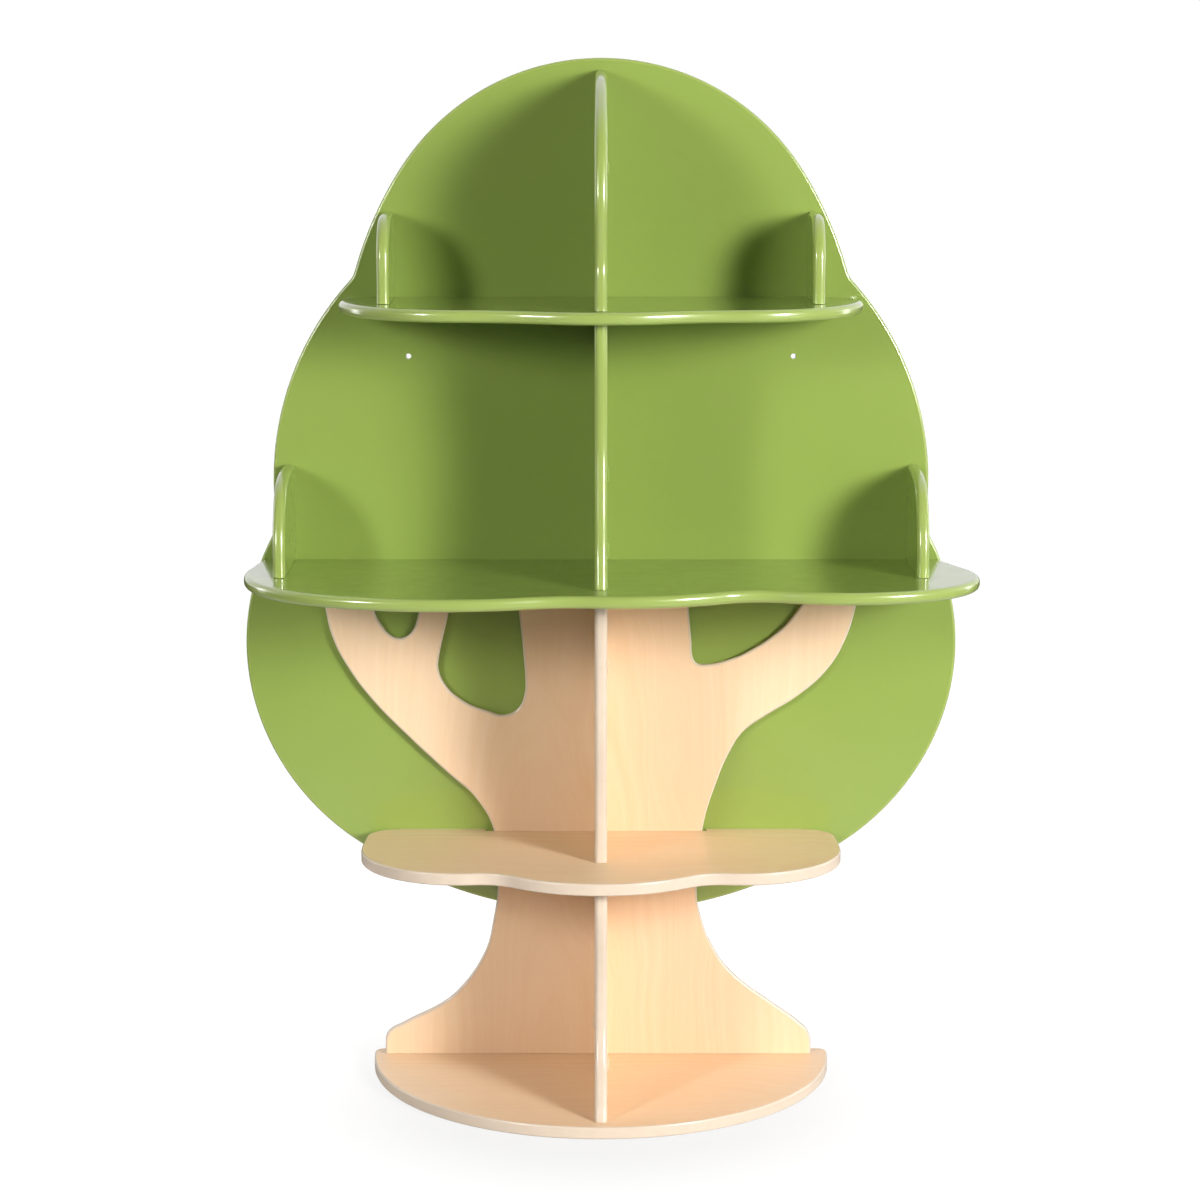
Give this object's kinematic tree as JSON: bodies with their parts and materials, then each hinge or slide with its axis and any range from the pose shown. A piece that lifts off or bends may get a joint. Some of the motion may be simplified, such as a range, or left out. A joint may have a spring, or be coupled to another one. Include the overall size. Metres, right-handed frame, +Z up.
{
  "type": "tree shaped bookshelf",
  "caption": "Free-standing bookshelf in the shape of a tree: lobed crown back panel, trunk board, lobed shelves, half-moon base and wavy dividers.",
  "frame": {"origin": "on the floor, at the middle of the base board's underside: on the middle line of the dividers and half way from the base board's front edge to its back edge", "axes": "+X to the right as seen from the front, +Y to the back, +Z up; the bookshelf faces -Y"},
  "size_m": [1.0762, 0.3692, 1.5146],
  "materials": {
    "green_board": "glossy green film over board",
    "maple_board": "satin maple grain film over board",
    "zinc_steel": "bright zinc plate",
    "green_cap": "satin",
    "beige_cap": "satin"
  },
  "bodies": {
    "root": {"crown_panel": "green_board", "top_shelf": "green_board", "middle_shelf": "green_board", "top_divider": "green_board", "upper_divider": "green_board", "top_side_divider_left": "green_board", "top_side_divider_right": "green_board", "middle_side_divider_left": "green_board", "middle_side_divider_right": "green_board", "trunk_panel": "maple_board", "lower_shelf": "maple_board", "base_board": "maple_board", "lower_divider": "maple_board", "base_divider": "maple_board", "top_shelf_screw_left": "zinc_steel", "middle_shelf_outer_screw_left": "zinc_steel", "middle_shelf_inner_screw_left": "zinc_steel", "lower_shelf_screw_left": "zinc_steel", "trunk_low_screw_left": "zinc_steel", "trunk_high_screw_left": "zinc_steel", "branch_screw_left": "zinc_steel", "trunk_foot_screw_left": "zinc_steel", "top_shelf_screw_right": "zinc_steel", "middle_shelf_outer_screw_right": "zinc_steel", "middle_shelf_inner_screw_right": "zinc_steel", "lower_shelf_screw_right": "zinc_steel", "trunk_low_screw_right": "zinc_steel", "trunk_high_screw_right": "zinc_steel", "branch_screw_right": "zinc_steel", "trunk_foot_screw_right": "zinc_steel", "top_side_divider_left_back_screw": "zinc_steel", "top_side_divider_left_foot_screw": "zinc_steel", "top_side_divider_right_back_screw": "zinc_steel", "top_side_divider_right_foot_screw": "zinc_steel", "middle_side_divider_left_back_screw": "zinc_steel", "middle_side_divider_left_foot_screw": "zinc_steel", "middle_side_divider_right_back_screw": "zinc_steel", "middle_side_divider_right_foot_screw": "zinc_steel", "top_divider_foot_screw": "zinc_steel", "lower_divider_foot_screw": "zinc_steel", "top_divider_cam": "zinc_steel", "top_divider_bolt": "zinc_steel", "top_divider_cap": "green_cap", "upper_divider_back_cam": "zinc_steel", "upper_divider_back_bolt": "zinc_steel", "upper_divider_back_cap": "green_cap", "upper_divider_foot_cam": "zinc_steel", "upper_divider_foot_bolt": "zinc_steel", "upper_divider_foot_cap": "green_cap", "lower_divider_cam": "zinc_steel", "lower_divider_bolt": "zinc_steel", "lower_divider_cap": "beige_cap", "base_divider_back_cam": "zinc_steel", "base_divider_back_bolt": "zinc_steel", "base_divider_back_cap": "beige_cap", "base_divider_foot_cam": "zinc_steel", "base_divider_foot_bolt": "zinc_steel", "base_divider_foot_cap": "beige_cap"}
  },
  "joints": []
}
